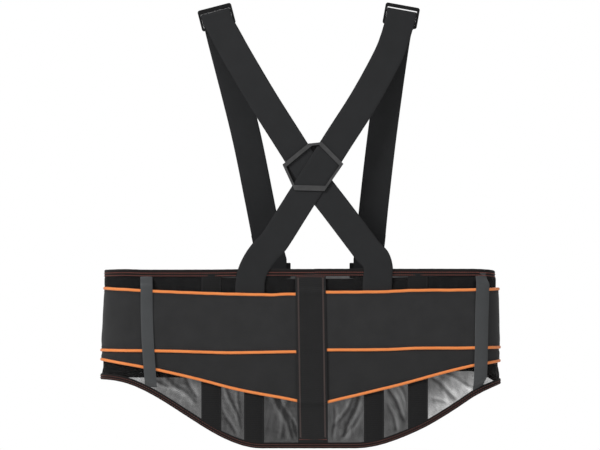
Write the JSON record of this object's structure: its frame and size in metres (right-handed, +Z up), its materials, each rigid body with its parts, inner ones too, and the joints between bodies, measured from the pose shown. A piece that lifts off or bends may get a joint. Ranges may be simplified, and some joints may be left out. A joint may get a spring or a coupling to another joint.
{
  "type": "back brace",
  "caption": "Lumbar support belt with stayed mesh back, elastic side bands with orange piping, front hook closure, and crossed shoulder straps with sliders.",
  "frame": {"origin": "centre of the bounding box at the lowest point of the back hem", "axes": "+Z up, from the hem to the strap sliders; +X along the belt to the right as seen from behind; +Y from the back to the front closure"},
  "size_m": [0.5, 0.0769, 0.5577],
  "materials": {
    "sheer_mesh": "matt, see-through",
    "edge_binding": "matt",
    "channel_webbing": "ribbed, matt",
    "strap_webbing": "woven, low sheen",
    "elastic_band": "finely ribbed, matt",
    "orange_piping": "satin",
    "keeper_ribbon": "satin",
    "grey_plastic": "satin",
    "black_plastic": "satin",
    "padded_fabric": "matt, laminated",
    "hook_tape": "rough",
    "loop_tape": "brushed",
    "grip_rubber": "matt, ribbed",
    "spring_steel": "brushed"
  },
  "bodies": {
    "belt": {"back_panel_left": "sheer_mesh", "back_panel_right": "sheer_mesh", "top_binding": "edge_binding", "hem_binding": "edge_binding", "channel_far_left": "channel_webbing", "channel_near_left": "channel_webbing", "channel_near_right": "channel_webbing", "channel_far_right": "channel_webbing", "stay_far_left": "spring_steel", "stay_near_left": "spring_steel", "stay_near_right": "spring_steel", "stay_far_right": "spring_steel", "centre_stay": "spring_steel", "centre_strip": "channel_webbing", "lower_band_left": "elastic_band", "lower_band_right": "elastic_band", "upper_band_left": "elastic_band", "upper_band_right": "elastic_band", "piping_left": "orange_piping", "piping_right": "orange_piping", "keeper_left": "keeper_ribbon", "keeper_right": "keeper_ribbon", "back_strap_left": "strap_webbing", "back_strap_right": "strap_webbing", "front_strap_left": "strap_webbing", "front_strap_right": "strap_webbing"},
    "cross_slide": {"cross_slide": "grey_plastic", "cross_patch": "channel_webbing"},
    "left_slider": {"slider_left": "black_plastic"},
    "right_slider": {"slider_right": "black_plastic"},
    "left_panel": {"front_panel_left": "padded_fabric", "front_binding_left": "edge_binding", "lower_wrap_left": "elastic_band", "upper_wrap_left": "elastic_band", "piping_wrap_left": "orange_piping", "closure_flap": "padded_fabric", "closure_hooks": "hook_tape", "ring_tab_left": "strap_webbing"},
    "right_panel": {"front_panel_right": "padded_fabric", "front_binding_right": "edge_binding", "lower_wrap_right": "elastic_band", "upper_wrap_right": "elastic_band", "piping_wrap_right": "orange_piping", "closure_loop_pad": "loop_tape", "ring_tab_right": "strap_webbing"},
    "left_ring": {"ring_left": "black_plastic"},
    "right_ring": {"ring_right": "black_plastic"},
    "left_tab": {"pull_tab_left": "elastic_band", "tab_hooks_left": "hook_tape", "tab_piping_left": "orange_piping", "tab_grip_left": "grip_rubber"},
    "right_tab": {"pull_tab_right": "elastic_band", "tab_hooks_right": "hook_tape", "tab_piping_right": "orange_piping", "tab_grip_right": "grip_rubber"}
  },
  "joints": [
    {"name": "left_panel_open", "type": "hinge", "parent": "belt", "child": "left_panel", "pos_m": [-0.2502, 0, 0.15], "axis": [0, 0, 1], "range_deg": [0, 75], "deforming": ["front_strap_left"]},
    {"name": "right_panel_open", "type": "hinge", "parent": "belt", "child": "right_panel", "pos_m": [0.2502, 0, 0.15], "axis": [0, 0, 1], "range_deg": [-75, 0], "deforming": ["front_strap_right"]},
    {"name": "left_tab_peel", "type": "hinge", "parent": "left_panel", "child": "left_tab", "pos_m": [-0.176, 0.0371, 0.153], "axis": [0, 0, 1], "range_deg": [0, 90]},
    {"name": "right_tab_peel", "type": "hinge", "parent": "right_panel", "child": "right_tab", "pos_m": [0.211, 0.0371, 0.153], "axis": [0, 0, 1], "range_deg": [-90, 0]},
    {"name": "left_ring_swivel", "type": "hinge", "parent": "left_panel", "child": "left_ring", "pos_m": [-0.035, 0.0358, 0.2128], "axis": [1, 0, 0], "range_deg": [-60, 20]},
    {"name": "right_ring_swivel", "type": "hinge", "parent": "right_panel", "child": "right_ring", "pos_m": [0.0855, 0.0358, 0.2128], "axis": [1, 0, 0], "range_deg": [-60, 20]},
    {"name": "cross_slide_shift", "type": "slide", "parent": "belt", "child": "cross_slide", "axis": [0, 0.0857, 0.9963], "range_m": [-0.03, 0.03], "deforming": ["back_strap_left", "back_strap_right"]},
    {"name": "left_slider_adjust", "type": "slide", "parent": "belt", "child": "left_slider", "axis": [0.2504, 0, -0.9681], "range_m": [0, 0.04]},
    {"name": "right_slider_adjust", "type": "slide", "parent": "belt", "child": "right_slider", "axis": [-0.1788, 0, -0.9839], "range_m": [0, 0.04]}
  ],
  "couplings": [
    {"joint": "right_panel_open", "follows": "left_panel_open", "ratio": -1}
  ]
}
